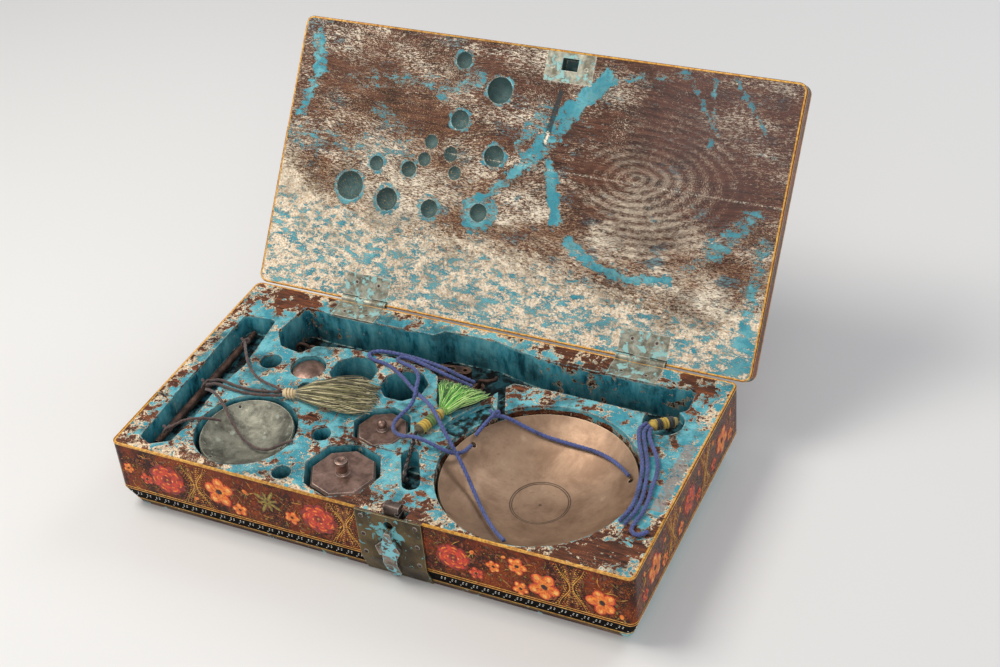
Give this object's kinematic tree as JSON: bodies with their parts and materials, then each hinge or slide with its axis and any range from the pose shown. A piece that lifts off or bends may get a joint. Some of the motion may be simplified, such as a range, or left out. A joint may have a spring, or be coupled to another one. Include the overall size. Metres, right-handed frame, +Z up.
{
  "type": "merchant scale box",
  "caption": "Painted wooden scale box with a hinged lid, carved seats, nested hand-scale pans, knobbed weights, a beam in its trough, cords and tassels.",
  "frame": {"origin": "centre of the underside, on the surface that the box stands on", "axes": "+X along the front to the right, +Y to the back, where the hinges are, +Z up"},
  "size_m": [0.306, 0.2665, 0.1751],
  "materials": {
    "tray_wood": "worn turquoise paint over gesso",
    "lid_wood": "worn paint over gesso and bare wood",
    "bottom_wood": "painted",
    "lock_brass": "dull, tarnished",
    "iron": "rusty, dark",
    "pan_bronze": "satin, brown patina",
    "small_pan_bronze": "matt, grey-green patina",
    "weight_bronze": "satin, dark patina",
    "beam_bronze": "dark patina",
    "blue_cord": "waxed cord",
    "brown_cord": "leather-brown cord",
    "olive_thread": "loose silk threads",
    "green_thread": "loose silk threads",
    "cream_thread": "wound thread",
    "yellow_thread": "wound thread"
  },
  "bodies": {
    "case": {"tray_front_board": "tray_wood", "tray_back_board": "tray_wood", "bottom_board": "bottom_wood", "lock_plate": "lock_brass", "lock_plate_nails": "lock_brass", "hasp_strap": "iron", "hasp_knuckle": "iron", "hinge_left_case_leaf": "iron", "hinge_right_case_leaf": "iron", "hinge_left_pin": "iron", "hinge_right_pin": "iron", "hinge_case_rivets": "iron", "olive_tassel_fringe": "olive_thread", "olive_tassel_binding": "cream_thread", "olive_tassel_winding": "cream_thread", "green_tassel_fringe": "green_thread", "green_tassel_binding": "yellow_thread", "green_tassel_winding": "yellow_thread", "bundle_binding": "yellow_thread", "bundle_winding": "yellow_thread", "tassel_hook": "iron", "blue_bundle_inner": "blue_cord", "blue_bundle_middle": "blue_cord", "blue_bundle_outer": "blue_cord", "brown_cord_pair_front": "brown_cord", "brown_cord_pair_back": "brown_cord", "brown_cord_elbow": "brown_cord", "brown_cord_stray": "brown_cord"},
    "lid": {"lid_front_board": "lid_wood", "lid_back_board": "lid_wood", "lid_catch_plate": "iron", "lid_catch_rivets": "iron", "hinge_left_lid_leaf": "iron", "hinge_right_lid_leaf": "iron", "hinge_lid_rivets": "iron"},
    "catch": {"catch_bolt": "iron"},
    "large_pan_lower": {"large_pan_lower": "pan_bronze"},
    "large_pan_upper": {"large_pan_upper": "pan_bronze", "blue_cord_front": "blue_cord", "blue_cord_left": "blue_cord", "blue_cord_right": "blue_cord", "blue_cord_rim": "blue_cord", "blue_cord_knot": "blue_cord"},
    "small_pan_lower": {"small_pan_lower": "small_pan_bronze"},
    "small_pan_upper": {"small_pan_upper": "small_pan_bronze", "brown_cord_pan": "brown_cord"},
    "weight_large": {"weight_large": "weight_bronze", "weight_large_knob": "weight_bronze"},
    "weight_medium": {"weight_medium": "weight_bronze", "weight_medium_knob": "weight_bronze"},
    "weight_small": {"weight_small": "weight_bronze"},
    "large_beam": {"large_beam": "beam_bronze", "large_beam_pivot": "beam_bronze", "large_beam_hooks": "iron"},
    "beam_shears": {"large_beam_shears": "beam_bronze"},
    "small_beam": {"small_beam": "beam_bronze"}
  },
  "joints": [
    {"name": "lid_hinge", "type": "hinge", "parent": "case", "child": "lid", "pos_m": [0, 0.079, 0.04625], "axis": [-1, 0, 0], "range_deg": [-127, 0], "deforming": ["olive_tassel_fringe", "olive_tassel_binding", "olive_tassel_winding", "green_tassel_fringe", "green_tassel_binding", "green_tassel_winding", "bundle_binding", "bundle_winding", "tassel_hook", "blue_bundle_inner", "blue_bundle_middle", "blue_bundle_outer", "brown_cord_pair_front", "brown_cord_pair_back", "brown_cord_elbow", "brown_cord_stray", "blue_cord_front", "blue_cord_left", "blue_cord_right", "blue_cord_rim", "blue_cord_knot", "brown_cord_pan"]},
    {"name": "catch_slide", "type": "slide", "parent": "case", "child": "catch", "axis": [1, 0, 0], "range_m": [0, 0.0028]},
    {"name": "large_pan_lower_lift", "type": "slide", "parent": "case", "child": "large_pan_lower", "axis": [0, 0, 1], "range_m": [0, 0.045]},
    {"name": "large_pan_upper_lift", "type": "slide", "parent": "large_pan_lower", "child": "large_pan_upper", "axis": [0, 0, 1], "range_m": [0, 0.045]},
    {"name": "small_pan_lower_lift", "type": "slide", "parent": "case", "child": "small_pan_lower", "axis": [0, 0, 1], "range_m": [0, 0.035]},
    {"name": "small_pan_upper_lift", "type": "slide", "parent": "small_pan_lower", "child": "small_pan_upper", "axis": [0, 0, 1], "range_m": [0, 0.035]},
    {"name": "weight_large_lift", "type": "slide", "parent": "case", "child": "weight_large", "axis": [0, 0, 1], "range_m": [0, 0.04]},
    {"name": "weight_medium_lift", "type": "slide", "parent": "case", "child": "weight_medium", "axis": [0, 0, 1], "range_m": [0, 0.04]},
    {"name": "weight_small_lift", "type": "slide", "parent": "case", "child": "weight_small", "axis": [0, 0, 1], "range_m": [0, 0.03]},
    {"name": "large_beam_lift", "type": "slide", "parent": "case", "child": "large_beam", "axis": [0, 0, 1], "range_m": [0, 0.045]},
    {"name": "beam_shears_swing", "type": "hinge", "parent": "large_beam", "child": "beam_shears", "pos_m": [-0.044, 0.0465, 0.0294], "axis": [0, 0, 1], "range_deg": [0, 16]},
    {"name": "small_beam_lift", "type": "slide", "parent": "case", "child": "small_beam", "axis": [0, 0, 1], "range_m": [0, 0.035]}
  ]
}
